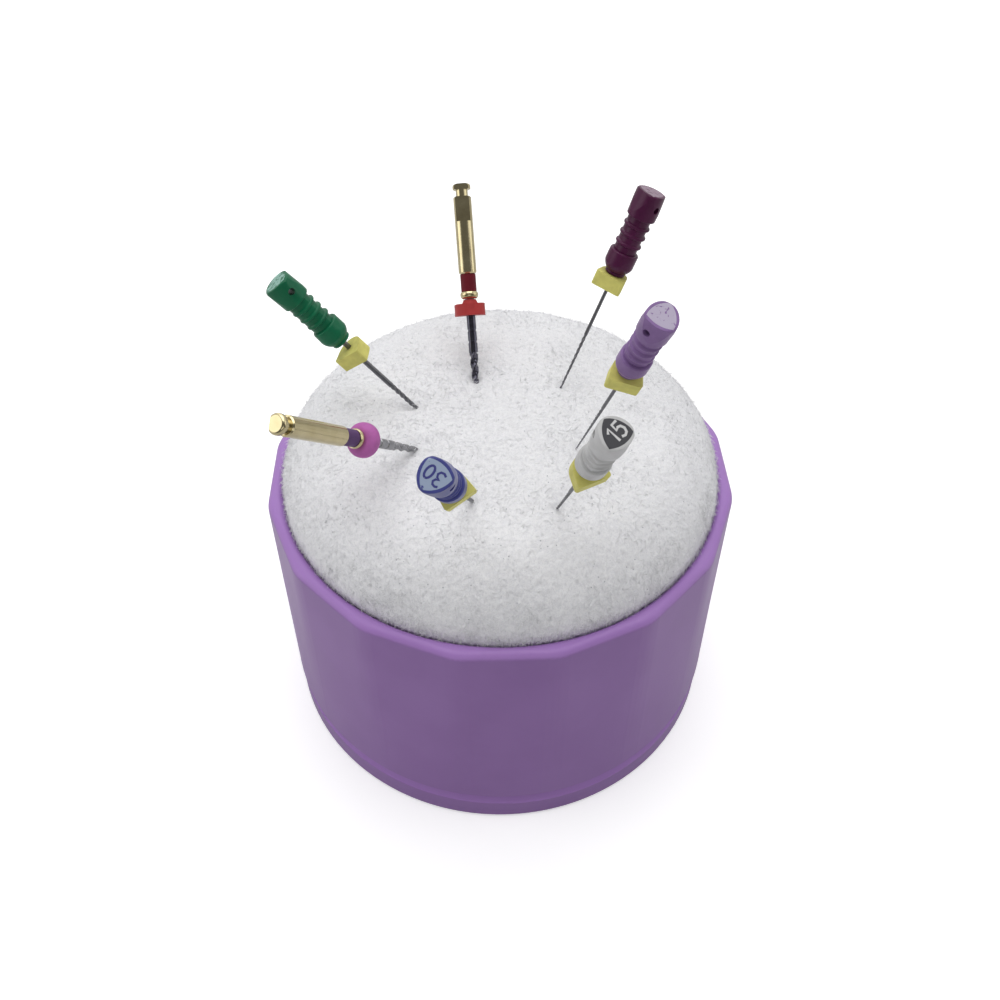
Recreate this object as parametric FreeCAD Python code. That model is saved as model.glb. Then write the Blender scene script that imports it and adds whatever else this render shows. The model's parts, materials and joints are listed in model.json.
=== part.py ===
import FreeCAD, Part
import math
import os

# Endodontic file stand: a moulded cup, a domed foam insert and seven instruments standing in it.
# Millimetres and degrees. The origin is the centre of the cup's underside, +Z up, -Y the front.

# Cup
cup_height = 39.0
rim_corner_radius = 31.5        # axis to a corner of the faceted rim
facet_count = 16
facet_corner_round = 7.0
body_flare = 0.3                # round lower end of the body beyond the rim's corners
wall_thickness = 2.82           # at the middle of a rim facet
floor_thickness = 2.4
floor_round = 1.5
lip_outer_round = 0.9
lip_inner_round = 0.8
lip_bevel_angle = 60.0          # inner bevel above the horizontal
foot_inset = 0.1                # foot ring inside the body's lower end
foot_height = 4.3
foot_round = 0.9
foot_shoulder_round = 0.35
foot_ring_width = 4.7           # face that the cup stands on, its rounding included
groove_height = 2.0             # coved groove between foot and body
groove_step = 0.9
underside_depth = 1.2
underside_draft = 0.4

# Foam insert
foam_fit = 0.2                  # radial play inside the bore
foam_crown_rise = 10.3          # crown above the rim
foam_crown_bow = 1.0            # share of that rise in the nearly flat crown
foam_shoulder_drop = 0.2        # start of the shoulder below the rim
foam_lip_gap = 0.1              # inside the lip's own inner round
pierce_play = 0.05              # radial play round each blade in the foam

# Hand files: collar, barrel, ridges and head are stacked up from the handle's lower end
collar_radius = 1.24
collar_height = 0.35
collar_swell = 0.05             # bulge of the collar beyond its two ends
barrel_radius = 1.90
barrel_rise = 1.3               # collar to the barrel's widest ring
barrel_fall = 1.4               # widest ring to the barrel's upper edge
barrel_top_radius = 1.83
barrel_edge_round = 0.2
barrel_face_distance = 1.82     # axis to the middle of one of the barrel's three faces
waist_radius = 1.22             # round heart of the waist, inside its three-sided core
core_corner_radius = 1.52       # axis to a corner of the waist's three-sided core
core_face_distance = 1.38       # axis to the middle of one of the core's faces
ridge_radius = 1.66
ridge_crest_width = 0.34
ridge_foot_width = 0.84
ridge_crest_bow = 0.07          # rise of the rounded crest above its two edges
ridge_pitch = 1.2
ridge_count = 3
waist_end_length = 1.05         # outer ridges' middles to the barrel and to the head
waist_embed = 0.4               # waist carried on into the barrel and the head
head_length = 3.3
head_foot_radius = 1.80
head_foot_round = 0.15
head_radius = 1.92
head_cap_round = 0.38
side_count = 3
head_face_radius = 2.6          # curve of a head face, seen along the handle
head_face_cap_distance = 1.64   # axis to the middle of a head face, at the cap
head_face_foot_distance = 1.86  # the same at the head's foot, where the face fades out
cross_hole_radius = 0.42
cross_hole_depth = 1.6          # below the cap
cross_hole_angle = 40.0         # from the middle of a face
handle_grip_depth = 6.5         # wire held inside the handle
grip_play = 0.02
file_length = 25.0              # handle's lower end to tip
flute_length = 16.0
file_taper = 0.02
flute_lead = 3.4                # blade length for one full turn
flute_step = 40.0               # twist between two sections
flute_corners = 4

# Rotary instruments: ring, band seat, body, neck and button are stacked up from the shank's end
shank_radius = 1.175            # latch shank, 2.35 mm across
shank_body_length = 9.9
shank_chamfer = 0.15
neck_radius = 0.78
neck_length = 0.85
button_length = 0.75
button_foot_chamfer = 0.1
button_round = 0.35
drive_flat_depth = 0.45
drive_flat_length = 3.2
band_inset = 0.155              # band under the shank's surface
band_length = 2.36
band_play = 0.02
band_chamfer = 0.08
band_seat_wall = 0.18           # metal left between band and shaft
ring_proud = 0.015
ring_length = 0.9
ring_foot_chamfer = 0.25
ring_top_chamfer = 0.12
shaft_radius = 0.60
shaft_grip_depth = 5.5
mark_count = 2
mark_height = 1.2               # first depth mark above the flutes
mark_pitch = 1.5
mark_width = 0.35
mark_depth = 0.07
rotary_length = 19.0            # shank's end to tip
rotary_flute_length = 12.0
rotary_tip_radius = 0.15
rotary_lead = 5.0
rotary_flute_step = 24.0
rotary_flutes = 3
land_half_width = 12.5          # degrees of the blade's circle
flute_wall_angle = 35.5         # land's middle to the foot of the flute's steep side
flute_floor_angle = 74.0        # land's middle to the flute's lowest line
flute_core_share = 0.62         # flute's lowest line as a share of the land radius
flute_wall_share = 0.70

# Stoppers
stopper_play = 0.05             # radial running play on the shaft
stopper_rest_gap = 0.1
stop_width = 3.9
stop_base = 1.72                # axis to the flat side
stop_round = 1.75               # round side opposite the flat
stop_thickness = 1.85
stop_corner_round = 0.3
red_stop_width = 4.1
red_stop_base = 1.55
red_stop_round = 1.95
red_stop_thickness = 1.5
red_stop_corner_round = 0.3
red_hub_radius = 0.95
red_hub_draft = 0.12
red_hub_length = 0.55
round_stop_radius = 2.08
round_stop_thickness = 2.1
round_stop_edge = 0.95

# Each instrument: place of its entry into the foam as inset from the foam's edge and angle round
# the cup's axis, lean from upright, direction it leans to, spin about itself, depth of its tip in
# the foam and the stopper's own spin and, for a hand file, tip diameter and gap between handle and
# stopper.
hand_files = {
    "green_file": dict(inset=17.5, angle=170.2, lean=38.6, toward=175.9, spin=95.0, depth=12.05, tip=0.35,
                       stop_gap=1.3, stop_spin=172.0),
    "maroon_file": dict(inset=18.97, angle=33.0, lean=23.4, toward=26.5, spin=57.0, depth=8.37, tip=0.13,
                        stop_gap=stopper_rest_gap, stop_spin=-54.0),
    "lavender_file": dict(inset=17.6, angle=325.4, lean=23.5, toward=299.4, spin=63.0, depth=5.3, tip=0.10,
                          stop_gap=stopper_rest_gap, stop_spin=50.0),
    "white_file": dict(inset=11.6, angle=291.5, lean=28.3, toward=286.3, spin=22.0, depth=9.25, tip=0.15,
                       stop_gap=stopper_rest_gap, stop_spin=98.0),
    "blue_file": dict(inset=13.5, angle=255.5, lean=38.3, toward=258.8, spin=24.0, depth=8.72, tip=0.30,
                      stop_gap=stopper_rest_gap, stop_spin=132.0),
}
rotary_files = {
    "red_rotary": dict(inset=21.4, angle=113.9, lean=40.0, toward=94.8, spin=173.0, depth=8.79,
                       stopper="angled", stop_spin=90.0),
    "violet_rotary": dict(inset=16.2, angle=209.4, lean=46.4, toward=230.1, spin=-70.0, depth=7.17,
                          stopper="round", stop_spin=0.0),
}

# Worked out from the sizes above
origin = FreeCAD.Vector(0, 0, 0)
up = FreeCAD.Vector(0, 0, 1)
facet_angle = 2 * math.pi / facet_count
rim_flat_radius = rim_corner_radius * math.cos(facet_angle / 2)
crest_radius = rim_flat_radius - lip_outer_round
bore_radius = rim_flat_radius - wall_thickness
bore_floor = underside_depth + floor_thickness
body_foot_radius = rim_corner_radius + body_flare
body_bottom = foot_height + groove_height
foot_radius = body_foot_radius - foot_inset
groove_radius = body_foot_radius - groove_step
underside_radius = foot_radius - foot_ring_width
foam_shoulder_round = foam_crown_rise + foam_shoulder_drop - foam_crown_bow
barrel_top_height = collar_height + barrel_rise + barrel_fall
first_ridge_height = barrel_top_height + waist_end_length
head_foot_height = first_ridge_height + (ridge_count - 1) * ridge_pitch + waist_end_length
handle_length = head_foot_height + head_length
band_radius = shank_radius - band_inset
band_seat_radius = shaft_radius + grip_play + band_seat_wall
ring_radius = shank_radius + ring_proud
overrun = 2.0                   # cutters reach this far past what they cut
tolerance = 0.01                # edges this close to a plane lie in it


def revolved(outline):
    """Turn a half outline about Z. An entry is a point (r, z), or two points in a row for an arc
    that passes through the first and ends at the second."""
    edges = []
    place = None
    for entry in outline:
        if isinstance(entry[0], tuple):
            middle, end = [FreeCAD.Vector(r, 0, z) for r, z in entry]
            edges.append(Part.Arc(place, middle, end).toShape())
        else:
            end = FreeCAD.Vector(entry[0], 0, entry[1])
            if place is not None:
                edges.append(Part.makeLine(place, end))
        place = end
    start = FreeCAD.Vector(outline[0][0], 0, outline[0][1])
    if not place.isEqual(start, 1e-6):
        edges.append(Part.makeLine(place, start))
    return Part.Face(Part.Wire(edges)).revolve(origin, up, 360)


def arc_about(centre, radius, start_angle, end_angle):
    """Middle and end point of an arc about a centre, as an entry of an outline."""
    points = []
    for angle in ((start_angle + end_angle) / 2, end_angle):
        a = math.radians(angle)
        points.append((centre[0] + radius * math.cos(a), centre[1] + radius * math.sin(a)))
    return tuple(points)


def cove_to(start, end):
    """Hollow arc that ends upright at its end point, as an entry of an outline."""
    across = start[0] - end[0]
    drop = end[1] - start[1]
    radius = (across ** 2 + drop ** 2) / (2 * across)
    centre = (end[0] + radius, end[1])
    start_angle = 180 + math.degrees(math.asin(drop / radius))
    return arc_about(centre, radius, start_angle, 180)


def rim_outline(height):
    """Regular polygon with rounded corners: one straight side and one corner arc per facet."""
    side_half = (rim_flat_radius - facet_corner_round) * math.tan(facet_angle / 2)
    corner_radius = rim_corner_radius - facet_corner_round * (1 / math.cos(facet_angle / 2) - 1)
    base = FreeCAD.Vector(0, 0, height)
    sides = []
    for index in range(facet_count):
        angle = -math.pi / 2 + index * facet_angle
        middle = base + FreeCAD.Vector(math.cos(angle), math.sin(angle), 0) * rim_flat_radius
        along = FreeCAD.Vector(-math.sin(angle), math.cos(angle), 0) * side_half
        sides.append((middle - along, middle + along))
    edges = []
    for index in range(facet_count):
        start, end = sides[index]
        next_start = sides[(index + 1) % facet_count][0]
        angle = -math.pi / 2 + (index + 0.5) * facet_angle
        corner = base + FreeCAD.Vector(math.cos(angle), math.sin(angle), 0) * corner_radius
        edges.append(Part.makeLine(start, end))
        edges.append(Part.Arc(end, corner, next_start).toShape())
    return Part.Wire(edges)


def round_outline(height, radius):
    """Circle cut into as many arcs as the rim outline has edges, at matching angles."""
    half = math.atan((rim_flat_radius - facet_corner_round) * math.tan(facet_angle / 2) / rim_flat_radius)
    edges = []
    for index in range(facet_count):
        middle = -math.pi / 2 + index * facet_angle
        for start, end in ((middle - half, middle + half), (middle + half, middle + facet_angle - half)):
            points = []
            for angle in (start, (start + end) / 2, end):
                points.append(FreeCAD.Vector(radius * math.cos(angle), radius * math.sin(angle), height))
            edges.append(Part.Arc(*points).toShape())
    return Part.Wire(edges)


def bevel_top():
    """Where the lip's straight inner bevel meets its inner round."""
    a = math.radians(lip_bevel_angle)
    return (crest_radius - lip_inner_round * math.sin(a), cup_height - lip_inner_round * (1 - math.cos(a)))


def bevel_foot():
    """Height at which the bevel leaves the bore."""
    radius, height = bevel_top()
    return height - (radius - bore_radius) * math.tan(math.radians(lip_bevel_angle))


def make_body():
    """Outside of the cup above its groove: facets at the rim that fade to round."""
    body = Part.makeLoft([round_outline(body_bottom, body_foot_radius), rim_outline(cup_height)], True, True)
    top_edges = []
    for edge in body.Edges:
        if edge.BoundBox.ZMin > cup_height - tolerance:
            top_edges.append(edge)
    return body.makeFillet(lip_outer_round, top_edges)


def make_foot():
    """Foot ring and the cove above it, solid to the axis."""
    shoulder = (foot_radius - foot_shoulder_round, foot_height - foot_shoulder_round)
    shoulder_arc = arc_about(shoulder, foot_shoulder_round, 0, 60)
    return revolved([
        (0, 0), (foot_radius - foot_round, 0),
        arc_about((foot_radius - foot_round, foot_round), foot_round, -90, 0),
        (foot_radius, foot_height - foot_shoulder_round),
        shoulder_arc,
        cove_to(shoulder_arc[1], (groove_radius, body_bottom)),
        (0, body_bottom),
    ])


def make_cup():
    """Cup with a round bore under a bevelled lip and a shallow recess in its underside."""
    hollow = revolved([
        (0, bore_floor), (bore_radius - floor_round, bore_floor),
        arc_about((bore_radius - floor_round, bore_floor + floor_round), floor_round, -90, 0),
        (bore_radius, bevel_foot()), bevel_top(),
        arc_about((crest_radius, cup_height - lip_inner_round), lip_inner_round, 90 + lip_bevel_angle, 90),
        (crest_radius, cup_height + overrun), (0, cup_height + overrun),
    ])
    underside = revolved([
        (0, -overrun), (underside_radius + underside_draft, -overrun),
        (underside_radius + underside_draft, 0),
        (underside_radius, underside_depth), (0, underside_depth),
    ])
    return make_body().fuse(make_foot()).cut(hollow).cut(underside).removeSplitter()


def foam_arcs():
    """Radius of the foam at its shoulder, height and offset of the shoulder arc's centre, and
    radius and centre height of the crown arc, which runs tangent into it."""
    radius = crest_radius - lip_inner_round - foam_lip_gap
    shoulder_z = cup_height - foam_shoulder_drop
    rise = foam_crown_rise + foam_shoulder_drop
    offset = radius - foam_shoulder_round
    crown_radius = (offset ** 2 + rise ** 2 - foam_shoulder_round ** 2) / (2 * foam_crown_bow)
    return radius, shoulder_z, offset, crown_radius, shoulder_z + rise - crown_radius


def foam_surface(distance):
    """Height of the foam's top at a distance from the axis."""
    radius, shoulder_z, offset, crown_radius, crown_z = foam_arcs()
    junction = offset * crown_radius / (crown_radius - foam_shoulder_round)
    if distance < junction:
        return crown_z + math.sqrt(crown_radius ** 2 - distance ** 2)
    return shoulder_z + math.sqrt(foam_shoulder_round ** 2 - (distance - offset) ** 2)


def make_foam():
    """Foam plug with a domed top, pierced by each blade."""
    radius, shoulder_z, offset, crown_radius, crown_z = foam_arcs()
    slope = math.degrees(math.atan2(shoulder_z - crown_z, offset))
    wall = bore_radius - foam_fit
    foam = revolved([
        (0, bore_floor), (wall - floor_round, bore_floor), (wall, bore_floor + floor_round),
        (wall, bevel_foot()), (radius, shoulder_z),
        arc_about((offset, shoulder_z), foam_shoulder_round, 0, slope),
        arc_about((0, crown_z), crown_radius, slope, 90),
    ])
    for tool in hand_files.values():
        foam = foam.cut(pierced(tool, wire_radius(tool)))
    for tool in rotary_files.values():
        foam = foam.cut(pierced(tool, shaft_radius))
    return foam


def placed(shape, tool):
    """Stand a shape at an instrument's place: its Z axis runs out of the foam, zero at the surface."""
    distance = foam_arcs()[0] - tool["inset"]
    a = math.radians(tool["angle"])
    entry = FreeCAD.Vector(distance * math.cos(a), distance * math.sin(a), foam_surface(distance))
    turn = FreeCAD.Rotation(up, tool["toward"])
    lean = FreeCAD.Rotation(FreeCAD.Vector(0, 1, 0), tool["lean"])
    spin = FreeCAD.Rotation(up, tool["spin"])
    moved = shape.copy()
    moved.Placement = FreeCAD.Placement(entry, turn.multiply(lean).multiply(spin)).multiply(moved.Placement)
    return moved


def pierced(tool, radius):
    """Channel that a blade leaves in the foam."""
    bottom = -tool["depth"] - pierce_play
    channel = Part.makeCylinder(radius + pierce_play, overrun - bottom, FreeCAD.Vector(0, 0, bottom))
    return placed(channel, tool)


def wire_radius(tool):
    """Radius of a hand file's wire, which is also its blade's at the top of the flutes."""
    return tool["tip"] / 2 + file_taper * flute_length / 2


def handle_reach(tool):
    """Foam surface to a hand file's handle, along the wire."""
    return file_length - tool["depth"]


def shank_reach(tool):
    """Foam surface to a rotary instrument's shank, along the shaft."""
    return rotary_length - tool["depth"]


def barrel_outline():
    """Half outline of a hand file's collar and barrel from the handle's lower end up."""
    widest = collar_height + barrel_rise
    swell = (barrel_radius - collar_radius) / 4
    edge = (barrel_top_radius - barrel_edge_round, barrel_top_height - barrel_edge_round)
    return [
        (0, 0), (collar_radius, 0),
        ((collar_radius + collar_swell, collar_height / 2), (collar_radius, collar_height)),
        ((barrel_radius - swell, widest - barrel_rise / 2), (barrel_radius, widest)),
        (barrel_top_radius, edge[1]), arc_about(edge, barrel_edge_round, 0, 90), (0, barrel_top_height),
    ]


def waist_outline():
    """Half outline of the waist's round heart with its ridges."""
    shoulder = ridge_radius - ridge_crest_bow
    outline = [(0, barrel_top_height - waist_embed), (waist_radius, barrel_top_height - waist_embed)]
    for index in range(ridge_count):
        middle = first_ridge_height + index * ridge_pitch
        outline += [
            (waist_radius, middle - ridge_foot_width / 2), (shoulder, middle - ridge_crest_width / 2),
            ((ridge_radius, middle), (shoulder, middle + ridge_crest_width / 2)),
            (waist_radius, middle + ridge_foot_width / 2),
        ]
    return outline + [(waist_radius, head_foot_height + waist_embed), (0, head_foot_height + waist_embed)]


def head_outline():
    """Half outline of the head up to the cap."""
    foot = (head_foot_radius - head_foot_round, head_foot_height + head_foot_round)
    cap = (head_radius - head_cap_round, handle_length - head_cap_round)
    return [
        (0, head_foot_height), (foot[0], head_foot_height), arc_about(foot, head_foot_round, -90, 0),
        (head_radius, cap[1]), arc_about(cap, head_cap_round, 0, 90), (0, handle_length),
    ]


def three_sided(shape, radius, low, low_distance, high, high_distance):
    """What a shape shares with three long cylinders whose near sides are the faces of a three-sided
    bar. The faces' middles lie at one distance from the axis at the low end, at another at the high
    end."""
    reach = math.hypot(high - low, high_distance - low_distance) + 2 * overrun
    slant = math.degrees(math.atan2(high_distance - low_distance, high - low))
    for index in range(side_count):
        side = Part.makeCylinder(radius, reach, FreeCAD.Vector(0, 0, -overrun))
        side.rotate(origin, FreeCAD.Vector(0, 1, 0), slant)
        side.translate(FreeCAD.Vector(low_distance - radius, 0, low))
        side.rotate(origin, up, index * 360.0 / side_count)
        shape = shape.common(side)
    return shape


def face_curve(corner, middle):
    """Radius of the faces of a three-sided bar with the given distances of corners and middles."""
    return middle + (corner ** 2 - middle ** 2) / (2 * middle - corner)


def make_handle_body():
    """Moulded handle without its bore: barrel, ridged waist and head, each with three curved faces,
    and a cross hole near the cap."""
    barrel = three_sided(revolved(barrel_outline()), face_curve(barrel_radius, barrel_face_distance),
                         0, barrel_face_distance, barrel_top_height, barrel_face_distance)
    low = barrel_top_height - waist_embed
    high = head_foot_height + waist_embed
    core = Part.makeCylinder(core_corner_radius, high - low, FreeCAD.Vector(0, 0, low))
    core = three_sided(core, face_curve(core_corner_radius, core_face_distance),
                       low, core_face_distance, high, core_face_distance)
    head = three_sided(revolved(head_outline()), head_face_radius, head_foot_height, head_face_foot_distance,
                       handle_length, head_face_cap_distance)
    body = barrel.multiFuse([revolved(waist_outline()), core, head]).removeSplitter()
    hole = Part.makeCylinder(cross_hole_radius, 4 * head_radius, FreeCAD.Vector(-2 * head_radius, 0, 0),
                             FreeCAD.Vector(1, 0, 0))
    hole.rotate(origin, up, cross_hole_angle)
    hole.translate(FreeCAD.Vector(0, 0, handle_length - cross_hole_depth))
    return body.cut(hole)


def make_handle(body, tool):
    """Copy of the handle with a bore for its own wire."""
    handle = body.cut(Part.makeCylinder(wire_radius(tool) + grip_play, handle_grip_depth))
    handle.translate(FreeCAD.Vector(0, 0, handle_reach(tool)))
    return placed(handle, tool)


def twisted(radius_at, outline, lead, start, length, step):
    """Closed solid through an outline that turns once per lead while its radius follows a law."""
    count = max(2, int(math.ceil(length / lead * 360.0 / step)))
    wires = []
    for index in range(count + 1):
        z = start + length * index / count
        turn = 2 * math.pi * (z - start) / lead
        corners = []
        for radius, angle in outline(radius_at(z)):
            corners.append(FreeCAD.Vector(radius * math.cos(angle + turn), radius * math.sin(angle + turn), z))
        wires.append(Part.makePolygon(corners + [corners[0]]))
    return Part.makeLoft(wires, True, True)


def make_hand_blade(tool):
    """Round wire that runs on into a twisted square blade with a two per cent taper."""
    top = handle_reach(tool) + handle_grip_depth
    tip = -tool["depth"]
    flute_top = tip + flute_length
    wire = Part.makeCylinder(wire_radius(tool), top - flute_top, FreeCAD.Vector(0, 0, flute_top))

    def edge_radius(z):
        return tool["tip"] / 2 + file_taper / 2 * (z - tip)

    def square(radius):
        return [(radius, corner * 2 * math.pi / flute_corners) for corner in range(flute_corners)]

    blade = twisted(edge_radius, square, flute_lead, tip, flute_length, flute_step)
    return placed(wire.fuse(blade), tool)


def make_angled_stop(width, base, radius, thickness, corner_round, hole_radius):
    """Directional stop, its top face at zero: a flat side with two rounded corners, and sides that
    run tangent into a round side."""
    corner = FreeCAD.Vector(width / 2, -base, 0)
    touch_angle = math.atan2(corner.y, corner.x) + math.acos(radius / corner.Length)
    touch = FreeCAD.Vector(radius * math.cos(touch_angle), radius * math.sin(touch_angle), 0)
    far_touch = FreeCAD.Vector(-touch.x, touch.y, 0)
    far_corner = FreeCAD.Vector(-corner.x, corner.y, 0)
    outline = Part.Wire([
        Part.makeLine(far_corner, corner), Part.makeLine(corner, touch),
        Part.Arc(touch, FreeCAD.Vector(0, radius, 0), far_touch).toShape(),
        Part.makeLine(far_touch, far_corner),
    ])
    stop = Part.Face(outline).extrude(FreeCAD.Vector(0, 0, -thickness))
    corner_edges = []
    for edge in stop.Edges:
        box = edge.BoundBox
        if box.ZLength > thickness / 2 and box.YMax < tolerance - base:
            corner_edges.append(edge)
    stop = stop.makeFillet(corner_round, corner_edges)
    hole = Part.makeCylinder(hole_radius, thickness + 2 * overrun, FreeCAD.Vector(0, 0, -thickness - overrun))
    return stop.cut(hole)


def make_round_stop(radius, thickness, edge_round, hole_radius):
    """Round stop with rounded edges, its top face at zero."""
    edge = min(edge_round, 0.45 * thickness, 0.8 * (radius - hole_radius))
    return revolved([
        (hole_radius, -thickness), (radius - edge, -thickness),
        arc_about((radius - edge, edge - thickness), edge, -90, 0), (radius, -edge),
        arc_about((radius - edge, -edge), edge, 0, 90), (hole_radius, 0),
    ])


def make_hand_stopper(tool):
    stop = make_angled_stop(stop_width, stop_base, stop_round, stop_thickness, stop_corner_round,
                            wire_radius(tool) + stopper_play)
    stop.rotate(origin, up, tool["stop_spin"] - tool["spin"])
    stop.translate(FreeCAD.Vector(0, 0, handle_reach(tool) - tool["stop_gap"]))
    return placed(stop, tool)


def make_rotary_stopper(tool):
    """Round stop, or an angled one with a short hub on its top face."""
    hole_radius = shaft_radius + stopper_play
    top = shank_reach(tool) - stopper_rest_gap
    if tool["stopper"] == "round":
        stop = make_round_stop(round_stop_radius, round_stop_thickness, round_stop_edge, hole_radius)
    else:
        stop = make_angled_stop(red_stop_width, red_stop_base, red_stop_round, red_stop_thickness,
                                red_stop_corner_round, hole_radius)
        hub = Part.makeCone(red_hub_radius + red_hub_draft, red_hub_radius - red_hub_draft, red_hub_length)
        stop = stop.fuse(hub.cut(Part.makeCylinder(hole_radius, red_hub_length)))
        top = top - red_hub_length
    stop.rotate(origin, up, tool["stop_spin"] - tool["spin"])
    stop.translate(FreeCAD.Vector(0, 0, top))
    return placed(stop, tool)


def make_shank(tool):
    """Latch shank: end ring, seat for the colour band, body with drive flat, neck and button."""
    band_top = ring_length + band_length
    body_top = band_top + shank_body_length
    neck_top = body_top + neck_length
    button_top = neck_top + button_length
    shank = revolved([
        (0, 0), (ring_radius - ring_foot_chamfer, 0),
        ((ring_radius, ring_length / 2), (ring_radius - ring_top_chamfer, ring_length)),
        (band_seat_radius, ring_length), (band_seat_radius, band_top),
        (shank_radius - shank_chamfer, band_top), (shank_radius, band_top + shank_chamfer),
        (shank_radius, body_top - shank_chamfer), (shank_radius - shank_chamfer, body_top),
        (neck_radius, body_top), (neck_radius, neck_top),
        (shank_radius - button_foot_chamfer, neck_top), (shank_radius, neck_top + button_foot_chamfer),
        (shank_radius, button_top - button_round),
        arc_about((shank_radius - button_round, button_top - button_round), button_round, 0, 90),
        (0, button_top),
    ])
    size = 4 * shank_radius
    corner = FreeCAD.Vector(shank_radius - drive_flat_depth, -size / 2, body_top - drive_flat_length)
    flat_block = Part.makeBox(size, size, drive_flat_length + neck_length + button_length + overrun, corner)
    bore = Part.makeCylinder(shaft_radius + grip_play, shaft_grip_depth)
    shank = shank.cut(flat_block).cut(bore)
    shank.translate(FreeCAD.Vector(0, 0, shank_reach(tool)))
    return placed(shank, tool)


def make_band(tool):
    """Colour band that fills its seat in the shank."""
    inner = band_seat_radius + band_play
    low = ring_length + band_play
    high = ring_length + band_length - band_play
    band = revolved([
        (inner, low), (band_radius - band_chamfer, low), (band_radius, low + band_chamfer),
        (band_radius, high - band_chamfer), (band_radius - band_chamfer, high), (inner, high),
    ])
    band.translate(FreeCAD.Vector(0, 0, shank_reach(tool)))
    return placed(band, tool)


def make_rotary_blade(tool):
    """Shaft with depth marks that runs on into a tapered blade with helical flutes."""
    top = shank_reach(tool) + shaft_grip_depth
    tip = -tool["depth"]
    flute_top = tip + rotary_flute_length
    shaft_outline = [(0, flute_top), (shaft_radius, flute_top)]
    for index in range(mark_count):
        mark = flute_top + mark_height + index * mark_pitch
        shaft_outline += [
            (shaft_radius, mark), (shaft_radius - mark_depth, mark + mark_depth),
            (shaft_radius - mark_depth, mark + mark_width - mark_depth), (shaft_radius, mark + mark_width),
        ]
    shaft = revolved(shaft_outline + [(shaft_radius, top), (0, top)])

    def land_radius(z):
        return rotary_tip_radius + (shaft_radius - rotary_tip_radius) * (z - tip) / rotary_flute_length

    def fluted(radius):
        corners = []
        for index in range(rotary_flutes):
            land = index * 360.0 / rotary_flutes
            for share, angle in ((1, -land_half_width), (1, land_half_width),
                                 (flute_wall_share, flute_wall_angle), (flute_core_share, flute_floor_angle)):
                corners.append((radius * share, math.radians(land + angle)))
        return corners

    blade = twisted(land_radius, fluted, rotary_lead, tip, rotary_flute_length, rotary_flute_step)
    return placed(shaft.fuse(blade), tool)


def build():
    nodes = {"cup": make_cup(), "foam_insert": make_foam()}
    handle_body = make_handle_body()
    for name, tool in hand_files.items():
        nodes[name + "_handle"] = make_handle(handle_body, tool)
        nodes[name + "_blade"] = make_hand_blade(tool)
        nodes[name + "_stopper"] = make_hand_stopper(tool)
    for name, tool in rotary_files.items():
        nodes[name + "_shank"] = make_shank(tool)
        nodes[name + "_band"] = make_band(tool)
        nodes[name + "_blade"] = make_rotary_blade(tool)
        nodes[name + "_stopper"] = make_rotary_stopper(tool)
    return nodes


os.makedirs("parts", exist_ok=True)
for node, shape in build().items():
    print(node, "solids", len(shape.Solids), "valid", shape.isValid(), "volume", round(shape.Volume, 3))
    shape.Solids[0].exportStep("parts/" + node + ".step")
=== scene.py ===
import json
import math
import bmesh
import bpy
import numpy as np
from mathutils import Matrix, Vector


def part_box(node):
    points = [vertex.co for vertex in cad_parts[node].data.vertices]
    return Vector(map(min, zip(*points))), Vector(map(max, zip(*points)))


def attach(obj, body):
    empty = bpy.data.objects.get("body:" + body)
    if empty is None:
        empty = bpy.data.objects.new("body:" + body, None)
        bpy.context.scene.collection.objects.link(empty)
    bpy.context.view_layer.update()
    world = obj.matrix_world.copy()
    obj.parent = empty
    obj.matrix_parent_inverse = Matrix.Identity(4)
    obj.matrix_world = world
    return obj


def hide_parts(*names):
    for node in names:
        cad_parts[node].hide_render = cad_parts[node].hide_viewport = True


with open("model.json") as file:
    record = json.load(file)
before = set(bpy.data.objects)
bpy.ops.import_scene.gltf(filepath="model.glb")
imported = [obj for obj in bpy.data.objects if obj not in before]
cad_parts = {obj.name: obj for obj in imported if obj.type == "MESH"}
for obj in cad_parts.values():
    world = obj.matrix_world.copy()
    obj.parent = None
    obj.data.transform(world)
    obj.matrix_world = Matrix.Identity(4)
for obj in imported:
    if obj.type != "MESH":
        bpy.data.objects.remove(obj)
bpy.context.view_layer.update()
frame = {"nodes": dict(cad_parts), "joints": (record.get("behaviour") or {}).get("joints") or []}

mm = 0.001
randoms = np.random.default_rng(41)


# Picture colour (0 to 255, display values) to the linear colour that a shader takes
def ink(red, green, blue):
    linear = []
    for value in (red, green, blue):
        share = value / 255
        linear.append(share / 12.92 if share <= 0.04045 else ((share + 0.055) / 1.055) ** 2.4)
    return (*linear, 1.0)


def dimmed(colour, share):
    return tuple(share * value for value in colour[:3]) + (1.0,)


# A socket in a finish's node tree. An expression on it adds the Math nodes that work it out.
class Wire:
    def __init__(self, finish, socket):
        self.finish = finish
        self.socket = socket

    def math(self, operation, first, second):
        return self.finish.node("Math", {"operation": operation}, {0: first, 1: second})

    def __add__(self, other):
        return self.math("ADD", self, other)

    def __radd__(self, other):
        return self.math("ADD", other, self)

    def __sub__(self, other):
        return self.math("SUBTRACT", self, other)

    def __rsub__(self, other):
        return self.math("SUBTRACT", other, self)

    def __mul__(self, other):
        return self.math("MULTIPLY", self, other)

    def __rmul__(self, other):
        return self.math("MULTIPLY", other, self)

    def __gt__(self, other):
        return self.math("GREATER_THAN", self, other)

    def __lt__(self, other):
        return self.math("LESS_THAN", self, other)


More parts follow.
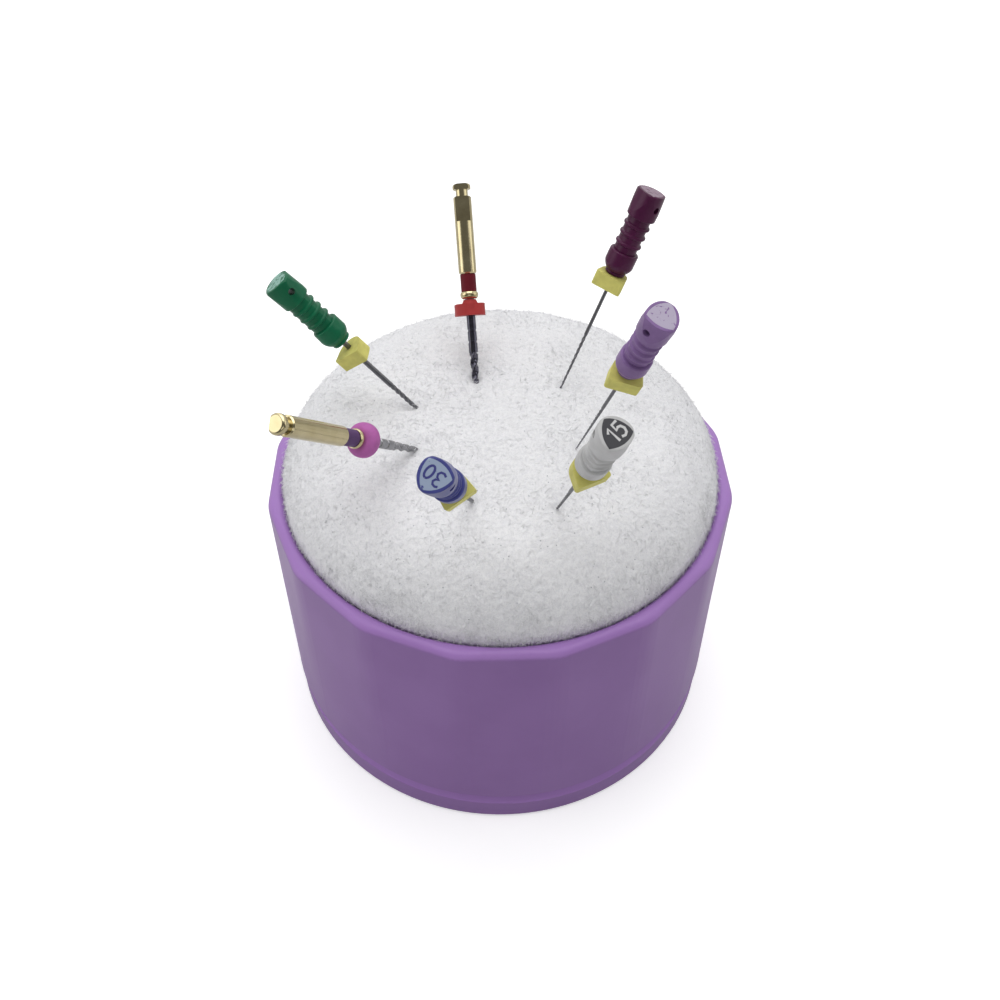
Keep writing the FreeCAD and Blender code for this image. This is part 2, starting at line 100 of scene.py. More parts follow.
# One material. node() adds any node: its settings are set first, then its sockets.
class Finish:
    def __init__(self, name):
        self.material = bpy.data.materials.new(name)
        self.material.use_nodes = True
        self.tree = self.material.node_tree
        self.tree.nodes.clear()

    def node(self, kind, settings=None, sockets=None, out=0):
        made = self.tree.nodes.new("ShaderNode" + kind)
        for name, value in (settings or {}).items():
            setattr(made, name, value)
        for name, value in (sockets or {}).items():
            if isinstance(value, Wire):
                self.tree.links.new(value.socket, made.inputs[name])
            else:
                made.inputs[name].default_value = value
        return Wire(self, made.outputs[out]) if len(made.outputs) else None

    def place(self):
        return self.node("TexCoord", out=3)

    # One number from the place: its length, or its distance from or dot product with a fixed vector
    def measure(self, operation, fixed=(0.0, 0.0, 0.0)):
        return self.node("VectorMath", {"operation": operation}, {0: self.place(), 1: tuple(fixed)}, out=1)

    def noise(self, size, detail, distortion=0.0):
        sockets = {"Vector": self.place(), "Scale": 1 / size, "Detail": detail, "Distortion": distortion}
        return self.node("TexNoise", None, sockets)

    def blend(self, share, first, second):
        return self.node("Mix", {"data_type": "RGBA"}, {0: share, 6: first, 7: second}, out=2)

    def band(self, value, low, high):
        settings = {"interpolation_type": "SMOOTHSTEP"}
        sockets = {"Value": value, "From Min": low, "From Max": high, "To Min": 0.0, "To Max": 1.0}
        return self.node("MapRange", settings, sockets)

    def bump(self, height, distance, strength=1.0):
        return self.node("Bump", None, {"Height": height, "Distance": distance, "Strength": strength})

    def close(self, **sockets):
        names = {name.replace("_", " "): value for name, value in sockets.items()}
        shader = self.node("BsdfPrincipled", None, names)
        self.node("OutputMaterial", None, {"Surface": shader})
        return self.material


def dress(nodeName, material):
    slots = frame["nodes"][nodeName].data.materials
    slots.clear()
    slots.append(material)


# Faces of a grid of points, row by row. Columns join round when closed is set.
def gridFaces(rows, columns, closed):
    row, column = np.meshgrid(np.arange(rows - 1), np.arange(columns if closed else columns - 1), indexing="ij")
    here = row * columns + column
    right = row * columns + (column + 1) % columns
    return np.stack([here, right, right + columns, here + columns], axis=-1).reshape(-1, 4)


def meshObject(name, points, faces, smooth=True):
    mesh = bpy.data.meshes.new(name)
    mesh.from_pydata(points.tolist(), [], faces)
    mesh.polygons.foreach_set("use_smooth", np.full(len(mesh.polygons), smooth))
    mesh.update()
    made = bpy.data.objects.new(name, mesh)
    bpy.context.scene.collection.objects.link(made)
    return made


def turnOutwards(made):
    work = bmesh.new()
    work.from_mesh(made.data)
    bmesh.ops.recalc_face_normals(work, faces=work.faces)
    work.to_mesh(made.data)
    work.free()


def nodePoints(nodeName):
    vertices = frame["nodes"][nodeName].data.vertices
    points = np.zeros(len(vertices) * 3)
    vertices.foreach_get("co", points)
    return points.reshape(-1, 3)


# Each instrument's line comes from the frame: its stopper's joint gives the direction, and the
# middle of its blade's upper end across that direction gives a point on the line.
bladeTop = 3 * mm


def instrumentLine(name):
    joint = next(joint for joint in frame["joints"] if joint["name"] == name + "_stop_slide")
    out = -np.array(joint["axis"])
    out = out / np.linalg.norm(out)
    side = np.cross([0.0, 0.0, 1.0], out)
    side = side / np.linalg.norm(side)
    rise = np.cross(out, side)
    points = nodePoints(name + "_blade")
    along = points @ out
    top = points[along > along.max() - bladeTop]
    centre = np.zeros(3)
    for direction in (side, rise):
        reach = top @ direction
        centre += direction * (reach.min() + reach.max()) / 2
    return {"out": out, "side": side, "rise": rise, "centre": centre}


# A point at a height along an instrument's line, and a distance and bearing across it. Bearing 0 is
# the way the instrument leans.
def across(line, height, distance=0.0, bearing=0.0):
    a = math.radians(bearing)
    return (line["centre"] + line["out"] * height
            + distance * (math.sin(a) * line["side"] - math.cos(a) * line["rise"]))


handFiles = ["green_file", "maroon_file", "lavender_file", "white_file", "blue_file"]
rotaryFiles = ["red_rotary", "violet_rotary"]
lines = {name: instrumentLine(name) for name in handFiles + rotaryFiles}
print("frame read:", len(frame["nodes"]), "nodes")

# Camera: the photograph's viewpoint, in millimetres and degrees about the cup
viewpoint = {"distance": 144.9, "elevation": 47.15, "azimuth": -1.87, "aimHeight": 32.4, "roll": 0.2,
             "lens": 37.04, "sensor": 36.0, "nearest": 0.005, "farthest": 5.0}


def makeCamera(values):
    data = bpy.data.cameras.new("photoCamera")
    data.lens = values["lens"]
    data.sensor_width = values["sensor"]
    data.clip_start = values["nearest"]
    data.clip_end = values["farthest"]
    camera = bpy.data.objects.new("photoCamera", data)
    bpy.context.scene.collection.objects.link(camera)
    bearing = math.radians(values["azimuth"])
    elevation = math.radians(values["elevation"])
    aim = Vector((0, 0, values["aimHeight"] * mm))
    offset = Vector((math.sin(bearing) * math.cos(elevation), -math.cos(bearing) * math.cos(elevation),
                     math.sin(elevation)))
    camera.location = aim + offset * values["distance"] * mm
    facing = (aim - camera.location).to_track_quat("-Z", "Y").to_matrix().to_4x4()
    turn = Matrix.Rotation(math.radians(values["roll"]), 4, "Z")
    camera.matrix_world = Matrix.Translation(camera.location) @ facing @ turn
    bpy.context.scene.camera = camera


makeCamera(viewpoint)

# Studio, in metres and watts: soft boxes, a pale floor that keeps the shadow and turns white farther
# out, and a white surround
lamps = {
    "topBox": {"power": 1.65, "size": (0.5, 0.5), "place": (0.0, 0.08, 0.55)},
    "backBox": {"power": 0.55, "size": (0.6, 0.3), "place": (0.0, 0.5, 0.35)},
    "leftBox": {"power": 0.55, "size": (0.3, 0.4), "place": (-0.5, -0.05, 0.25)},
    "rightBox": {"power": 0.32, "size": (0.3, 0.4), "place": (0.5, -0.05, 0.25)},
    "frontBox": {"power": 0.3, "size": (0.5, 0.2), "place": (0.0, -0.55, 0.3)},
}
lampAim = (0, 0, 0.03)
paleFloor = {"size": 4.0, "colour": (0.8, 0.8, 0.8, 1), "glow": 0.5, "glowFrom": 0.1, "glowTo": 0.4}
surround = {"light": 0.28, "frontGloss": 0.16, "glossFrom": -0.6, "glossTo": 0.3}
white = (1, 1, 1, 1)


def softBox(name, values):
    data = bpy.data.lights.new(name, "AREA")
    data.shape = "RECTANGLE"
    data.size, data.size_y = values["size"]
    data.energy = values["power"]
    lamp = bpy.data.objects.new(name, data)
    bpy.context.scene.collection.objects.link(lamp)
    lamp.location = Vector(values["place"])
    lamp.rotation_euler = (Vector(lampAim) - lamp.location).to_track_quat("-Z", "Y").to_euler()


# The floor's glow is for the camera alone. It rises from its own share to 1 between two distances
# from the cup.
def makeFloor(values):
    floor = Finish("paleFloor")
    cameraRay = floor.node("LightPath")
    diffuse = floor.node("BsdfDiffuse", None, {"Color": values["colour"]})
    far = floor.band(floor.measure("LENGTH"), values["glowFrom"], values["glowTo"])
    strength = cameraRay * (values["glow"] + (1 - values["glow"]) * far)
    glow = floor.node("Emission", None, {"Color": white, "Strength": strength})
    both = floor.node("AddShader", None, {0: diffuse, 1: glow})
    floor.node("OutputMaterial", None, {"Surface": both})
    half = values["size"] / 2
    corners = np.array([[-half, -half, 0], [half, -half, 0], [half, half, 0], [-half, half, 0]])
    plane = meshObject("floor", corners, [[0, 1, 2, 3]], smooth=False)
    plane.data.materials.append(floor.material)


# World: white to the camera and through glass, plain light for diffuse rays. Reflections see it
# white behind and beside the object and dim on the photographer's side.
def makeSurround(values):
    world = bpy.data.worlds.new("surround")
    bpy.context.scene.world = world
    world.use_nodes = True
    tree = world.node_tree
    tree.nodes.clear()
    rays = tree.nodes.new("ShaderNodeLightPath")
    place = tree.nodes.new("ShaderNodeTexCoord")
    split = tree.nodes.new("ShaderNodeSeparateXYZ")
    tree.links.new(place.outputs["Generated"], split.inputs[0])
    behind = tree.nodes.new("ShaderNodeMapRange")
    behind.interpolation_type = "SMOOTHSTEP"
    for name, value in (("From Min", values["glossFrom"]), ("From Max", values["glossTo"]),
                        ("To Min", values["frontGloss"]), ("To Max", 1.0)):
        behind.inputs[name].default_value = value
    tree.links.new(split.outputs["Y"], behind.inputs["Value"])

    def joined(operation, first, second):
        made = tree.nodes.new("ShaderNodeMath")
        made.operation = operation
        for socket, value in zip(made.inputs, (first, second)):
            if isinstance(value, float):
                socket.default_value = value
            else:
                tree.links.new(value, socket)
        return made.outputs[0]

    glossy = joined("MULTIPLY", rays.outputs["Is Glossy Ray"], behind.outputs[0])
    plain = joined("MAXIMUM", rays.outputs["Is Camera Ray"], rays.outputs["Is Transmission Ray"])
    light = joined("MULTIPLY", rays.outputs["Is Diffuse Ray"], values["light"])
    back = tree.nodes.new("ShaderNodeBackground")
    back.inputs["Color"].default_value = white
    tree.links.new(joined("MAXIMUM", joined("MAXIMUM", glossy, plain), light), back.inputs["Strength"])
    output = tree.nodes.new("ShaderNodeOutputWorld")
    tree.links.new(back.outputs[0], output.inputs["Surface"])


for name, values in lamps.items():
    softBox(name, values)
makeFloor(paleFloor)
makeSurround(surround)
bpy.context.scene.view_settings.view_transform = "Standard"
print("camera and studio set")

# Cup: moulded purple plastic with a soft gloss. Where its lip and edges face up, the colour turns paler: painted top
# light
plasticIor = 1.49
cupLook = {"colour": ink(146, 109, 171), "shade": ink(142, 105, 167), "lip": ink(169, 128, 197),
           "lipFacing": (0.02, 0.55), "roughness": 0.32, "smudge": 0.08, "gloss": 0.25, "mottle": 9 * mm,
           "grain": 0.35 * mm, "grainDepth": 0.006 * mm}


def cupFinish(look):
    finish = Finish("cupPlastic")
    mottle = finish.noise(look["mottle"], 3.0)
    colour = finish.blend(finish.band(mottle, 0.35, 0.65), look["shade"], look["colour"])
    # Painted top light: a paler purple is blended in by how far the surface's normal points up, so the lip, edges
    # and foot ring's top look lit from above
    facing = finish.node("SeparateXYZ", None, {0: finish.node("TexCoord", out=1)}, out=2)
    colour = finish.blend(finish.band(facing, *look["lipFacing"]), colour, look["lip"])
    grain = finish.noise(look["grain"], 2.0)
    smudge = finish.noise(look["mottle"] / 2, 4.0)
    roughness = look["roughness"] + look["smudge"] * (smudge - 0.5)
    return finish.close(Base_Color=colour, Roughness=roughness, IOR=plasticIor,
                        Specular_IOR_Level=look["gloss"], Normal=finish.bump(grain, look["grainDepth"]))


dress("cup", cupFinish(cupLook))

# Foam insert: domed plug with a fibrous skin, on a square grid wrapped to a disc, and a skirt down
# to the well's floor. Waves are (height, shortest, longest, count).
foamShape = {
    "crownBow": 1.0 * mm, "shoulderDrop": 0.2 * mm, "crownRise": 10.3 * mm, "cells": 340,
    "swell": (0.048 * mm, 5 * mm, 14 * mm, 40), "tufts": (0.026 * mm, 0.7 * mm, 1.6 * mm, 90),
    "fine": (0.0182 * mm, 0.4 * mm, 0.7 * mm, 90), "sunk": 0.06 * mm,
    "dimpleDepth": 0.35 * mm, "dimpleRadius": 2.2 * mm, "pitDepth": 0.35 * mm, "pitRadius": 0.75 * mm,
    "edgeFrom": 0.97, "edgeSunk": 0.1 * mm, "tuck": 0.3 * mm, "tuckDepth": 1.2 * mm,
    "wallRadius": 27.86 * mm, "wallDepth": 3.5 * mm, "footBevel": 1.5 * mm, "footPlay": 0.02 * mm,
}


# Height field of random waves: each is a sine along a random direction, with a wavelength
# between shortest and longest, and their sum has about the given height.
def randomWaves(points, height, shortest, longest, count):
    directions = randoms.normal(size=(count, 3))
    directions /= np.linalg.norm(directions, axis=1, keepdims=True)
    lengths = shortest * (longest / shortest) ** randoms.random(count)
    phases = randoms.random(count) * 2 * np.pi
    total = np.zeros(len(points))
    for direction, length, phase in zip(directions, lengths, phases):
        total += np.sin(points @ direction * (2 * np.pi / length) + phase)
    return height * total / math.sqrt(count / 2)


# Profile of the dome by arc length from the crown: a flat crown arc, then the shoulder arc down
# to the lip. The shoulder arc is tangent to the crown arc where their centres' line meets both.
def domeProfile(values):
    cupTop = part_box("cup")[1][2]
    rise = values["crownRise"] + values["shoulderDrop"]
    shoulder = rise - values["crownBow"]
    offset = values["radius"] - shoulder
    crown = (offset ** 2 + rise ** 2 - shoulder ** 2) / (2 * values["crownBow"])
    shoulderHeight = cupTop - values["shoulderDrop"]
    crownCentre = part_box("foam_insert")[1][2] - crown
    lean = math.atan2(offset, shoulderHeight - crownCentre)
    crownLength = crown * lean
    shoulderLength = shoulder * (math.pi / 2 - lean)

    def along(distance):
        onCrown = distance < crownLength
        crownAngle = np.minimum(distance, crownLength) / crown
        shoulderAngle = lean + np.maximum(distance - crownLength, 0) / shoulder
        out = np.where(onCrown, crown * np.sin(crownAngle), offset + shoulder * np.sin(shoulderAngle))
        up = np.where(onCrown, crownCentre + crown * np.cos(crownAngle),
                      shoulderHeight + shoulder * np.cos(shoulderAngle))
        return out, up, np.where(onCrown, crownAngle, shoulderAngle)

    return along, crownLength + shoulderLength


def foamRadius():
    points = nodePoints("foam_insert")
    return np.hypot(points[:, 0], points[:, 1]).max()


# Square grid (u, v) to a disc: the larger coordinate is the radius, and the other, over it,
# turns the point within its quarter.
def squareToDisc(cells):
    u, v = np.meshgrid(np.linspace(-1, 1, cells + 1), np.linspace(-1, 1, cells + 1), indexing="ij")
    wide = np.abs(u) >= np.abs(v)
    radius = np.where(wide, u, v)
    safe = np.where(radius == 0, 1, radius)
    angle = np.where(wide, np.pi / 4 * v / safe, np.pi / 2 - np.pi / 4 * u / safe)
    return radius.ravel(), angle.ravel()


# Dome points move along their normals by the waves' height, less a wide dimple and a narrow pit
# round each instrument: depth e^-(distance / radius)^2, and ^4 for the pit.
def makeFoam(values):
    profile, reach = domeProfile(values)
    cells = values["cells"]
    share, angle = squareToDisc(cells)
    out, up, lean = profile(np.abs(share) * reach)
    sign = np.sign(share)
    points = np.stack([sign * out * np.cos(angle), sign * out * np.sin(angle), up], axis=1)
    normals = np.stack([sign * np.sin(lean) * np.cos(angle), sign * np.sin(lean) * np.sin(angle),
                        np.cos(lean)], axis=1)
    height = -values["sunk"] + randomWaves(points, *values["swell"])
    height += randomWaves(points, *values["tufts"])
    height += randomWaves(points, *values["fine"])
    for line in lines.values():
        toEntry = np.linalg.norm(np.cross(points - line["centre"], line["out"]), axis=1)
        height -= values["dimpleDepth"] * np.exp(-(toEntry / values["dimpleRadius"]) ** 2)
        height -= values["pitDepth"] * np.exp(-(toEntry / values["pitRadius"]) ** 4)
    edge = np.clip((np.abs(share) - values["edgeFrom"]) / (1 - values["edgeFrom"]), 0, 1)
    height = height * (1 - edge) - values["edgeSunk"] * edge
    points += normals * height[:, None]
    faces = [gridFaces(cells + 1, cells + 1, False)]
    border = np.concatenate([
        np.arange(cells + 1), np.arange(1, cells + 1) * (cells + 1) + cells,
        cells * (cells + 1) + np.arange(cells - 1, -1, -1), np.arange(cells - 1, 0, -1) * (cells + 1)])
    bearing = np.arctan2(points[border, 1], points[border, 0])
    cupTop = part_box("cup")[1][2]
    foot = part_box("foam_insert")[0][2]
    wall = values["wallRadius"]
    skirt = [(values["radius"] - values["tuck"], cupTop - values["tuckDepth"]), (wall, cupTop - values["wallDepth"]),
             (wall, foot + values["footBevel"]), (wall - values["footBevel"], foot + values["footPlay"])]
    rings = [points]
    start = len(points)
    previous = border
    for radius, level in skirt:
        rings.append(np.stack([radius * np.cos(bearing), radius * np.sin(bearing),
                               np.full(len(border), level)], axis=1))
        current = start + np.arange(len(border))
        faces.append(np.stack([previous, current, np.roll(current, -1), np.roll(previous, -1)], axis=1))
        previous = current
        start += len(border)
    foam = meshObject("foamInsert", np.concatenate(rings),
                      np.concatenate(faces).tolist() + [previous[::-1].tolist()])
    turnOutwards(foam)
    return foam


foamShape["radius"] = foamRadius()
foam = makeFoam(foamShape)

foamIor = 1.3
foamLook = {
    "light": ink(246, 246, 248), "shade": ink(230, 230, 234), "poreShade": ink(190, 190, 196), "litFuzz": ink(254, 254, 254),
    "fibre": 0.3 * mm, "broad": 6 * mm, "broadShare": 0.12, "poreCell": 0.9 * mm, "poreRadius": 0.11,
    "poreArea": 3.0 * mm, "poreFrom": 0.55, "bump": 0.14 * mm, "bumpShare": 0.6, "roughness": 0.95, "gloss": 0.2,
    "fuzzTone": 1.5 * mm, "fuzzRoughness": 0.9,
}


def foamFinish(look):
    finish = Finish("foamSkin")
    fibres = finish.noise(look["fibre"], 4.0, 1.6)
    broad = finish.noise(look["broad"], 2.0)
    share = finish.band(fibres + look["broadShare"] * (broad - 0.5), 0.3, 0.62)
    colour = finish.blend(share, look["shade"], look["light"])
    # Pores: sparse small spots in a darker grey, painted shade in the foam's open cells, which the mesh doesn't
    # hollow out
    cells = finish.node("TexVoronoi", {"feature": "F1"}, {"Vector": finish.place(), "Scale": 1 / look["poreCell"]})
    sparse = finish.noise(look["poreArea"], 1.0) > look["poreFrom"]
    colour = finish.blend((cells < look["poreRadius"]) * sparse, colour, look["poreShade"])
    return finish.close(Base_Color=colour, Roughness=look["roughness"], IOR=foamIor,
                        Specular_IOR_Level=look["gloss"],
                        Normal=finish.bump(fibres, look["bump"], look["bumpShare"]))


foam.data.materials.append(foamFinish(foamLook))
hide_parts("foam_insert")
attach(foam, "stand")
print("foam made:", len(foam.data.polygons), "faces")

# Loose fibres on the foam: short bent threads that start under the skin. One piece is spread over
# the dome, and the other is crowded towards the lip, where some lie over it. lift is the range of a
# fibre's angle above the skin.
fuzzLook = {"domeCount": 13500, "rimCount": 9500, "rimWidth": 6 * mm, "crowding": 1.6, "fan": 0.35,
            "lift": (12, 60), "shortest": 0.4 * mm, "longest": 1.2 * mm, "skew": 1.5, "radius": 0.031 * mm,
            "taper": 0.55, "root": 0.1 * mm, "bend": 0.4, "droop": 0.5, "sides": 3, "rings": 3}


# Centre line of a fibre: root + length (t way + bend t^2 sag), with t from 0 to 1. Its rings'
# radius is radius (1 - taper t).
def makeFuzz(name, values, shape, count, rim, material):
    profile, reach = domeProfile(shape)
    spot = np.sqrt(randoms.random(count)) * reach
    if rim:
        spot = reach - values["rimWidth"] * randoms.random(count) ** values["crowding"]
    bearing = randoms.random(count) * 2 * np.pi
    out, up, lean = profile(spot)
    radial = np.stack([np.cos(bearing), np.sin(bearing), np.zeros(count)], axis=1)
    upright = np.array([0.0, 0.0, 1.0])
    normal = radial * np.sin(lean)[:, None] + upright * np.cos(lean)[:, None]
    downhill = radial * np.cos(lean)[:, None] - upright * np.sin(lean)[:, None]
    sideways = np.cross(normal, downhill)
    root = radial * out[:, None] + upright * up[:, None] - normal * values["root"]
    heading = randoms.random(count) * 2 * np.pi
    if rim:
        heading = (heading - np.pi) * values["fan"]
    lowest, steepest = values["lift"]
    lift = np.radians(lowest + (steepest - lowest) * randoms.random(count) ** values["skew"])
    flat = downhill * np.cos(heading)[:, None] + sideways * np.sin(heading)[:, None]
    way = flat * np.cos(lift)[:, None] + normal * np.sin(lift)[:, None]
    sag = np.cross(way, normal) * randoms.normal(size=count)[:, None] - normal * values["droop"]
    spare = values["longest"] - values["shortest"]
    length = values["shortest"] + spare * randoms.random(count) ** values["skew"]
    first = np.cross(way, normal)
    first /= np.linalg.norm(first, axis=1, keepdims=True)
    second = np.cross(way, first)
    sides = values["sides"]
    rings = []
    for t in np.linspace(0, 1, values["rings"]):
        centre = root + length[:, None] * (t * way + values["bend"] * t * t * sag)
        radius = values["radius"] * (1 - values["taper"] * t)
        for turn in np.arange(sides) * 2 * np.pi / sides:
            rings.append(centre + radius * (math.cos(turn) * first + math.sin(turn) * second))
    points = np.stack(rings, axis=1).reshape(-1, 3)
    block = values["rings"] * sides
    start = np.arange(count)[:, None, None] * block
    walls = (gridFaces(values["rings"], sides, True)[None] + start).reshape(-1, 4)
    ends = (np.array([np.arange(block - sides, block), np.arange(sides)[::-1]])[None] + start).reshape(-1, sides)
    fibres = meshObject(name, points, walls.tolist() + ends.tolist())
    fibres.data.materials.append(material)
    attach(fibres, "stand")
    return len(fibres.data.polygons)


# The fibres run from the foam's shade tone up to near white, paler than the foam's skin: painted light on threads
# that catch more light than the skin under them
def fibreFinish(look):
    finish = Finish("foamFibre")
    tone = finish.noise(look["fuzzTone"], 2.0)
    return finish.close(Base_Color=finish.blend(tone, look["shade"], look["litFuzz"]),
                        Roughness=look["fuzzRoughness"], IOR=foamIor)


fibreLook = fibreFinish(foamLook)
domeFaces = makeFuzz("domeFibres", fuzzLook, foamShape, fuzzLook["domeCount"], False, fibreLook)
rimFaces = makeFuzz("rimFibres", fuzzLook, foamShape, fuzzLook["rimCount"], True, fibreLook)
print("fibres made:", domeFaces + rimFaces, "faces")

# Moulded plastic of the hand files' handles. The caps carry a printed shield, which is a triangle
# with bowed sides: what lies within sideRadius of all three points that sit sideOffset from the
# middle, opposite its sides. turn is the bearing of one side's middle, wear how much is rubbed off.
shield = {"sideRadius": 2.86 * mm, "sideOffset": 1.54 * mm, "depth": 0.14 * mm, "wearSize": 0.5 * mm,
          "wearEdge": 0.03}
plasticLook = {"mottle": 2.5 * mm, "dark": 0.82, "grain": 0.18 * mm, "grainDepth": 0.004 * mm,
               "roughness": 0.32, "mottleRough": 0.1, "printRough": 0.12, "gloss": 0.22}
handleLooks = {
    "green_file": {"colour": ink(16, 104, 70), "print": ink(142, 182, 170), "turn": 95, "wear": 0.45},
    "maroon_file": {"colour": ink(78, 22, 62), "print": ink(150, 128, 144), "turn": 57, "wear": 0.4},
    "lavender_file": {"colour": ink(138, 108, 160), "print": ink(184, 174, 196), "turn": 63, "wear": 0.38},
    "white_file": {"colour": ink(202, 202, 202), "print": ink(68, 68, 72), "turn": 22, "wear": 0.28},
    "blue_file": {"colour": ink(76, 80, 146), "print": ink(152, 166, 190), "turn": 24, "wear": 0.3},
}


def capHeight(name):
    return float((nodePoints(name + "_handle") @ lines[name]["out"]).max())


def handleFinish(name, look, plastic):
    line = lines[name]
    top = capHeight(name)
    finish = Finish(name + "_plastic")
    mottle = finish.noise(plastic["mottle"], 3.0)
    body = finish.blend(finish.band(mottle, 0.3, 0.7), dimmed(look["colour"], plastic["dark"]), look["colour"])
    printed = finish.measure("DOT_PRODUCT", line["out"]) > top - shield["depth"]
    for side in range(3):
        point = across(line, top, -shield["sideOffset"], look["turn"] + 120 * side)
        printed = printed * (finish.measure("DISTANCE", point) < shield["sideRadius"])
    wear = finish.noise(shield["wearSize"], 5.0, 0.6)
    printed = printed * finish.band(wear, look["wear"] - shield["wearEdge"], look["wear"] + shield["wearEdge"])
    grain = finish.noise(plastic["grain"], 2.0)
    roughness = plastic["roughness"] + plastic["mottleRough"] * (mottle - 0.5) + plastic["printRough"] * printed
    return finish.close(Base_Color=finish.blend(printed, body, look["print"]), Roughness=roughness,
                        IOR=plasticIor, Specular_IOR_Level=plastic["gloss"],
                        Normal=finish.bump(grain, plastic["grainDepth"]))


# Size numbers on two caps, in the handle's own plastic that shows through the print. A digit is a
# stroke along points in a box 0.6 wide and 1 high. reading is the bearing that the number runs to.
digitStrokes = {
    "0": [(0.3 + 0.25 * math.sin(math.radians(a)), 0.5 + 0.46 * math.cos(math.radians(a)))
          for a in range(0, 361, 24)],
    "1": [(0.1, 0.76), (0.34, 1.0), (0.34, 0.0)],
    "3": [(0.05, 0.9), (0.22, 1.0), (0.42, 0.97), (0.53, 0.8), (0.45, 0.6), (0.24, 0.52), (0.46, 0.46),
          (0.56, 0.26), (0.46, 0.06), (0.24, 0.0), (0.04, 0.1)],
    "5": [(0.55, 1.0), (0.13, 1.0), (0.09, 0.57), (0.3, 0.66), (0.49, 0.58), (0.57, 0.34), (0.48, 0.1),
          (0.27, 0.0), (0.05, 0.09)],
}
digitMiddle = (0.3, 0.5)
numbers = {
    "white_file": {"digits": "15", "reading": 122, "height": 1.6 * mm, "pitch": 0.9 * mm, "stroke": 0.27 * mm,
                   "shift": (0.12 * mm, 0.0), "colour": ink(214, 214, 214)},
    "blue_file": {"digits": "30", "reading": 236.6, "height": 1.5 * mm, "pitch": 1.15 * mm, "stroke": 0.24 * mm,
                  "shift": (0.0, 0.0), "colour": ink(66, 68, 132)},
}
numberShape = {"proud": 0.012 * mm, "sunk": -0.02 * mm}
numberLook = {"tone": 0.4 * mm, "dark": 0.85, "roughness": 0.4, "toneRough": 0.1, "gloss": 0.35}


# Flat strip of even width along points in the cap's plane: at each point it reaches half the stroke
# to both sides, square to the mean of the two runs that meet there.
def makeNumber(name, values, shape):
    line = lines[name]
    reading = across(line, 0, 1, values["reading"]) - across(line, 0)
    rising = across(line, 0, 1, values["reading"] + 90) - across(line, 0)
    middle = across(line, capHeight(name)) + values["shift"][0] * reading + values["shift"][1] * rising
    corners = [(shape["proud"], 1), (shape["proud"], -1), (shape["sunk"], -1), (shape["sunk"], 1)]
    strips = []
    faces = []
    start = 0
    for index, digit in enumerate(values["digits"]):
        track = (np.array(digitStrokes[digit]) - digitMiddle) * values["height"]
        track[:, 0] += (index - (len(values["digits"]) - 1) / 2) * values["pitch"]
        runs = np.diff(track, axis=0)
        runs /= np.linalg.norm(runs, axis=1, keepdims=True)
        mean = np.concatenate([runs[:1], runs[:-1] + runs[1:], runs[-1:]])
        mean /= np.linalg.norm(mean, axis=1, keepdims=True)
        normal = np.stack([-mean[:, 1], mean[:, 0]], axis=1) * values["stroke"] / 2
        edges = []
        for height, sign in corners:
            flat = track + sign * normal
            edges.append(middle + flat[:, :1] * reading + flat[:, 1:] * rising + height * line["out"])
        strips.append(np.stack(edges, axis=1).reshape(-1, 3))
        size = len(track)
        faces += (gridFaces(size, 4, True) + start).tolist()
        faces += [list(range(start, start + 4)), list(range(start + 4 * size - 4, start + 4 * size))]
        start += 4 * size
    made = meshObject(name + "_number", np.concatenate(strips), faces, smooth=False)
    turnOutwards(made)
    return made


def numberFinish(name, colour, look):
    finish = Finish(name + "_numberPlastic")
    tone = finish.noise(look["tone"], 3.0)
    return finish.close(Base_Color=finish.blend(tone, dimmed(colour, look["dark"]), colour),
                        Roughness=look["roughness"] + look["toneRough"] * (tone - 0.5), IOR=plasticIor,
                        Specular_IOR_Level=look["gloss"])


for name, values in numbers.items():
    number = makeNumber(name, values, numberShape)
    number.data.materials.append(numberFinish(name, values["colour"], numberLook))
    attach(number, "stand")
print("numbers made:", len(numbers))

# Stoppers and colour bands: matt silicone and paint
siliconeLook = {"mottle": 1.2 * mm, "dark": 0.85, "grain": 0.12 * mm, "grainDepth": 0.004 * mm,
                "roughness": 0.55, "mottleRough": 0.1, "ior": 1.42, "gloss": 0.25}
stopLooks = {"yellow": ink(222, 216, 122), "red_rotary": ink(184, 64, 64), "violet_rotary": ink(188, 106, 176)}
bandLooks = {"red_rotary": ink(108, 20, 36), "violet_rotary": ink(96, 68, 114)}


def stopFinish(name, colour, look):
    finish = Finish(name)
    mottle = finish.noise(look["mottle"], 3.0)
    grain = finish.noise(look["grain"], 2.0)
    return finish.close(Base_Color=finish.blend(finish.band(mottle, 0.3, 0.7), dimmed(colour, look["dark"]), colour),
                        Roughness=look["roughness"] + look["mottleRough"] * (mottle - 0.5), IOR=look["ior"],
                        Specular_IOR_Level=look["gloss"], Normal=finish.bump(grain, look["grainDepth"]))


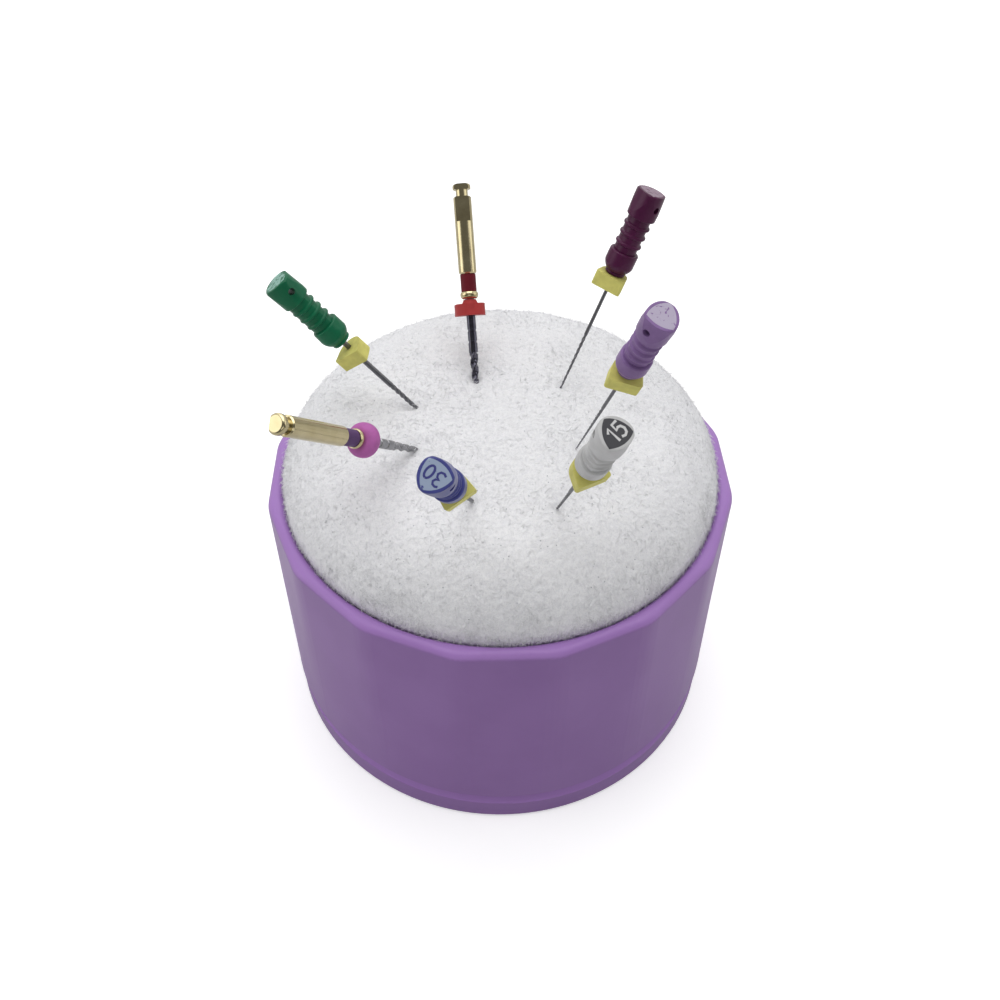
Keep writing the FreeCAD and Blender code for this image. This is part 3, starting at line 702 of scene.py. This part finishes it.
# Blades and shanks: steel with fine rings across its length from grinding and with scratches, and
# gold plating with rings from turning
groundSteel = {"mottle": 0.9 * mm, "scratch": 0.05 * mm, "spread": 0.1, "rings": 0.06 * mm, "ringShare": 0.3}
wireLook = {**groundSteel, "dark": ink(88, 88, 92), "light": ink(126, 126, 130), "roughness": 0.3}
bladeLooks = {
    "red_rotary": {**groundSteel, "dark": ink(46, 46, 56), "light": ink(108, 106, 118), "roughness": 0.2},
    "violet_rotary": {**groundSteel, "dark": ink(110, 110, 114), "light": ink(172, 172, 174), "roughness": 0.26},
}
goldLook = {"mottle": 1.5 * mm, "scratch": None, "spread": 0.08, "rings": 0.09 * mm, "ringShare": 0.25,
            "dark": ink(182, 168, 128), "light": ink(208, 197, 160), "roughness": 0.18}
ringDepth = 0.001 * mm


# The rings' height is the sine of the distance along the instrument. Roughness varies with the
# scratches or, without them, with the mottle.
def metalFinish(name, line, look):
    finish = Finish(name)
    along = finish.measure("DOT_PRODUCT", line["out"])
    mottle = finish.noise(look["mottle"], 3.0)
    worn = finish.noise(look["scratch"], 2.0) if look["scratch"] else mottle
    rings = finish.node("Math", {"operation": "SINE"}, {0: along * (2 * math.pi / look["rings"])})
    return finish.close(Base_Color=finish.blend(mottle, look["dark"], look["light"]), Metallic=1.0,
                        Roughness=look["roughness"] + look["spread"] * (worn - 0.5),
                        Normal=finish.bump(rings, ringDepth, look["ringShare"]))


yellowSilicone = stopFinish("yellowSilicone", stopLooks["yellow"], siliconeLook)
for name in handFiles:
    dress(name + "_handle", handleFinish(name, handleLooks[name], plasticLook))
    dress(name + "_blade", metalFinish(name + "_steel", lines[name], wireLook))
    dress(name + "_stopper", yellowSilicone)
for name in rotaryFiles:
    dress(name + "_shank", metalFinish(name + "_gold", lines[name], goldLook))
    dress(name + "_band", stopFinish(name + "_bandPlastic", bandLooks[name], siliconeLook))
    dress(name + "_blade", metalFinish(name + "_steel", lines[name], bladeLooks[name]))
    dress(name + "_stopper", stopFinish(name + "_silicone", stopLooks[name], siliconeLook))
print("instruments dressed")
